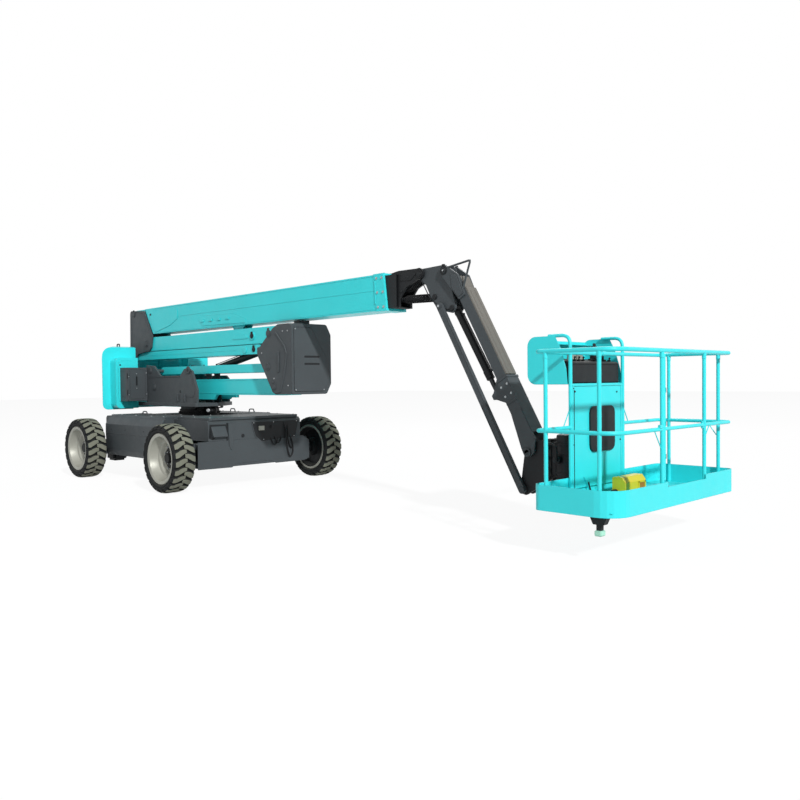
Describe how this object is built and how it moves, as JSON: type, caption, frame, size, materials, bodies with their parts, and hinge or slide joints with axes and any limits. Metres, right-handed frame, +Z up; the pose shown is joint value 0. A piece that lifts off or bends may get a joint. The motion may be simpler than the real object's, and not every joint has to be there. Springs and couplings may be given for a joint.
{
  "type": "articulating boom lift",
  "caption": "Self-propelled aerial work platform: folding riser, telescopic main boom, levelled jib and railed basket on a slewing turntable over a wheeled chassis.",
  "frame": {"origin": "on the ground, midway along the stowed machine's length and on its centre plane", "axes": "+Z up, +X from the counterweight towards the platform, +Y to the machine's left"},
  "size_m": [8.475, 2.382, 2.3112],
  "materials": {
    "cyan_paint": "satin cyan enamel",
    "dark_paint": "dark slate grey satin enamel",
    "black_paint": "black satin enamel",
    "silver_paint": "silver wheel enamel",
    "chrome_rod": "polished chrome",
    "tyre_rubber": "dusty black rubber",
    "yellow_paint": "yellow enamel",
    "black_plastic": "moulded black plastic"
  },
  "bodies": {
    "chassis": {"chassis_frame": "dark_paint", "deck_cover_right": "dark_paint", "deck_cover_left": "dark_paint", "deck_cover_front": "dark_paint", "steer_axle": "dark_paint", "slew_bearing": "black_paint"},
    "knuckle_left": {"steering_knuckle_left": "black_paint"},
    "knuckle_right": {"steering_knuckle_right": "black_paint"},
    "tie_rod": {"tie_rod": "black_paint"},
    "front_left_wheel": {"tyre_front_left": "tyre_rubber", "rim_front_left": "silver_paint"},
    "front_right_wheel": {"tyre_front_right": "tyre_rubber", "rim_front_right": "silver_paint"},
    "rear_left_wheel": {"tyre_rear_left": "tyre_rubber", "rim_rear_left": "silver_paint"},
    "rear_right_wheel": {"tyre_rear_right": "tyre_rubber", "rim_rear_right": "silver_paint"},
    "turntable": {"turntable_frame": "dark_paint", "counterweight": "cyan_paint", "hood_left": "cyan_paint", "hood_right": "cyan_paint", "control_box_right": "dark_paint", "control_box_left": "dark_paint", "slew_motor": "black_paint"},
    "control_door_right": {"control_box_door_right": "dark_paint"},
    "control_door_left": {"control_box_door_left": "dark_paint"},
    "lower_arm": {"lower_riser_arm": "cyan_paint"},
    "lower_link": {"lower_riser_link": "cyan_paint"},
    "mid_pivot": {"mid_pivot_box": "dark_paint"},
    "upper_arm": {"upper_riser_arm": "cyan_paint"},
    "upper_link": {"upper_riser_link": "cyan_paint"},
    "upright": {"upright": "dark_paint"},
    "riser_barrel": {"riser_cylinder_barrel": "black_paint"},
    "riser_rod": {"riser_cylinder_rod": "chrome_rod"},
    "lift_barrel": {"lift_cylinder_barrel": "black_paint"},
    "lift_rod": {"lift_cylinder_rod": "chrome_rod"},
    "main_boom": {"main_boom": "cyan_paint"},
    "fly_boom": {"fly_boom": "dark_paint"},
    "head": {"boom_head": "dark_paint"},
    "level_barrel": {"level_cylinder_barrel": "black_paint"},
    "level_rod": {"level_cylinder_rod": "chrome_rod"},
    "jib_arm": {"jib_arm": "dark_paint"},
    "jib_link": {"jib_link": "dark_paint"},
    "jib_barrel": {"jib_cylinder_barrel": "black_paint"},
    "jib_rod": {"jib_cylinder_rod": "chrome_rod"},
    "support": {"platform_support": "black_paint"},
    "platform": {"platform_mount": "black_paint", "platform_floor": "cyan_paint", "guard_rails": "cyan_paint", "console_panel": "cyan_paint", "document_box": "black_plastic", "console_box": "cyan_paint", "console_desk": "black_plastic", "foot_pedal": "yellow_paint"},
    "gate": {"platform_gate": "cyan_paint"}
  },
  "joints": [
    {"name": "steer_left", "type": "hinge", "parent": "chassis", "child": "knuckle_left", "pos_m": [-1.3175, 0.84, 0.391], "axis": [0, 0, 1], "range_deg": [-28, 28]},
    {"name": "front_left_wheel_spin", "type": "hinge", "parent": "knuckle_left", "child": "front_left_wheel", "pos_m": [-1.3175, 1.06, 0.391], "axis": [0, 1, 0], "continuous": true},
    {"name": "rear_left_wheel_spin", "type": "hinge", "parent": "chassis", "child": "rear_left_wheel", "pos_m": [-3.5575, 1.06, 0.391], "axis": [0, 1, 0], "continuous": true},
    {"name": "steer_right", "type": "hinge", "parent": "chassis", "child": "knuckle_right", "pos_m": [-1.3175, -0.84, 0.391], "axis": [0, 0, 1], "range_deg": [-28, 28]},
    {"name": "front_right_wheel_spin", "type": "hinge", "parent": "knuckle_right", "child": "front_right_wheel", "pos_m": [-1.3175, -1.06, 0.391], "axis": [0, 1, 0], "continuous": true},
    {"name": "rear_right_wheel_spin", "type": "hinge", "parent": "chassis", "child": "rear_right_wheel", "pos_m": [-3.5575, -1.06, 0.391], "axis": [0, 1, 0], "continuous": true},
    {"name": "tie_rod_pivot", "type": "hinge", "parent": "knuckle_left", "child": "tie_rod", "pos_m": [-1.4825, 0.84, 0.35], "axis": [0, 0, 1], "range_deg": [-28, 28]},
    {"name": "slew", "type": "hinge", "parent": "chassis", "child": "turntable", "pos_m": [-2.4375, 0, 0.9], "axis": [0, 0, 1], "continuous": true},
    {"name": "riser_lift", "type": "hinge", "parent": "turntable", "child": "lower_arm", "pos_m": [-2.9875, 0, 1.185], "axis": [0, -1, 0], "range_deg": [0, 50]},
    {"name": "lower_link_pivot", "type": "hinge", "parent": "turntable", "child": "lower_link", "pos_m": [-3.0875, 0, 1.405], "axis": [0, -1, 0], "range_deg": [0, 50]},
    {"name": "mid_pivot_lower", "type": "hinge", "parent": "lower_arm", "child": "mid_pivot", "pos_m": [-0.4175, 0, 1.185], "axis": [0, -1, 0], "range_deg": [-50, 0]},
    {"name": "upper_arm_pivot", "type": "hinge", "parent": "mid_pivot", "child": "upper_arm", "pos_m": [-0.5025, 0, 1.787], "axis": [0, 1, 0], "range_deg": [0, 50]},
    {"name": "upper_link_pivot", "type": "hinge", "parent": "mid_pivot", "child": "upper_link", "pos_m": [-0.8875, 0, 1.627], "axis": [0, 1, 0], "range_deg": [0, 50]},
    {"name": "upright_pivot", "type": "hinge", "parent": "upper_arm", "child": "upright", "pos_m": [-3.5875, 0, 1.787], "axis": [0, 1, 0], "range_deg": [-50, 0]},
    {"name": "riser_cylinder_base", "type": "hinge", "parent": "turntable", "child": "riser_barrel", "pos_m": [-2.0905, 0, 1.401], "axis": [0, -1, 0], "range_deg": [0, 71.96]},
    {"name": "riser_cylinder_stroke", "type": "slide", "parent": "riser_barrel", "child": "riser_rod", "axis": [0.9828, 0, 0.1846], "range_m": [0, 0.98911]},
    {"name": "boom_lift", "type": "hinge", "parent": "upright", "child": "main_boom", "pos_m": [-3.9505, 0, 2.231], "axis": [0, -1, 0], "range_deg": [0, 72]},
    {"name": "lift_cylinder_base", "type": "hinge", "parent": "upright", "child": "lift_barrel", "pos_m": [-3.4405, 0, 1.845], "axis": [0, -1, 0], "range_deg": [0, 76.52]},
    {"name": "lift_cylinder_stroke", "type": "slide", "parent": "lift_barrel", "child": "lift_rod", "axis": [1, 0, 0], "range_m": [0, 0.72813]},
    {"name": "telescope", "type": "slide", "parent": "main_boom", "child": "fly_boom", "axis": [1, 0, 0], "range_m": [0, 2.6]},
    {"name": "level_pivot", "type": "hinge", "parent": "fly_boom", "child": "head", "pos_m": [1.7005, 0, 2.24], "axis": [0, -1, 0], "range_deg": [-72, 0]},
    {"name": "level_cylinder_base", "type": "hinge", "parent": "fly_boom", "child": "level_barrel", "pos_m": [0.9925, 0, 2.04], "axis": [0, -1, 0], "range_deg": [-1.91, 0]},
    {"name": "level_cylinder_stroke", "type": "slide", "parent": "level_barrel", "child": "level_rod", "axis": [0.9996, 0, -0.0295], "range_m": [-0.33379, 0]},
    {"name": "jib_lift", "type": "hinge", "parent": "head", "child": "jib_arm", "pos_m": [2.0095, 0, 2.242], "axis": [0, -1, 0], "range_deg": [0, 112]},
    {"name": "jib_link_pivot", "type": "hinge", "parent": "head", "child": "jib_link", "pos_m": [1.9535, 0, 1.922], "axis": [0, -1, 0], "range_deg": [0, 112]},
    {"name": "platform_level_pivot", "type": "hinge", "parent": "jib_arm", "child": "support", "pos_m": [2.92907, 0, 0.62982], "axis": [0, -1, 0], "range_deg": [-112, 0]},
    {"name": "jib_cylinder_base", "type": "hinge", "parent": "head", "child": "jib_barrel", "pos_m": [2.0845, 0, 1.896], "axis": [0, -1, 0], "range_deg": [0, 117.69]},
    {"name": "jib_cylinder_stroke", "type": "slide", "parent": "jib_barrel", "child": "jib_rod", "axis": [0.5214, 0, -0.8533], "range_m": [0, 0.57499]},
    {"name": "platform_rotate", "type": "hinge", "parent": "support", "child": "platform", "pos_m": [3.2625, 0, 0.59], "axis": [0, 0, 1], "range_deg": [-90, 90]},
    {"name": "gate_hinge", "type": "hinge", "parent": "platform", "child": "gate", "pos_m": [4.2155, -0.2287, 0.7], "axis": [0, 0, 1], "range_deg": [0, 68]},
    {"name": "control_box_right_hinge", "type": "hinge", "parent": "turntable", "child": "control_door_right", "pos_m": [-3.1795, -0.636, 1.227], "axis": [0, 0, -1], "range_deg": [0, 110]},
    {"name": "control_box_left_hinge", "type": "hinge", "parent": "turntable", "child": "control_door_left", "pos_m": [-3.1795, 0.636, 1.227], "axis": [0, 0, 1], "range_deg": [0, 110]}
  ],
  "couplings": [
    {"joint": "steer_right", "follows": "steer_left", "ratio": 1},
    {"joint": "tie_rod_pivot", "follows": "steer_left", "ratio": -1},
    {"joint": "lower_link_pivot", "follows": "riser_lift", "ratio": 1},
    {"joint": "mid_pivot_lower", "follows": "riser_lift", "ratio": -1},
    {"joint": "upper_arm_pivot", "follows": "riser_lift", "ratio": 1},
    {"joint": "upper_link_pivot", "follows": "riser_lift", "ratio": 1},
    {"joint": "upright_pivot", "follows": "riser_lift", "ratio": -1},
    {"joint": "riser_cylinder_base", "follows": "riser_lift", "ratio": 1.4392},
    {"joint": "riser_cylinder_stroke", "follows": "riser_lift", "m_per_rad": 1.1334},
    {"joint": "lift_cylinder_base", "follows": "boom_lift", "ratio": 1.0628},
    {"joint": "lift_cylinder_stroke", "follows": "boom_lift", "m_per_rad": 0.57942},
    {"joint": "level_pivot", "follows": "boom_lift", "ratio": -1},
    {"joint": "level_cylinder_base", "follows": "boom_lift", "ratio": -0.026502},
    {"joint": "level_cylinder_stroke", "follows": "boom_lift", "m_per_rad": -0.26561},
    {"joint": "jib_link_pivot", "follows": "jib_lift", "ratio": 1},
    {"joint": "platform_level_pivot", "follows": "jib_lift", "ratio": -1},
    {"joint": "jib_cylinder_base", "follows": "jib_lift", "ratio": 1.0508},
    {"joint": "jib_cylinder_stroke", "follows": "jib_lift", "m_per_rad": 0.29414}
  ]
}
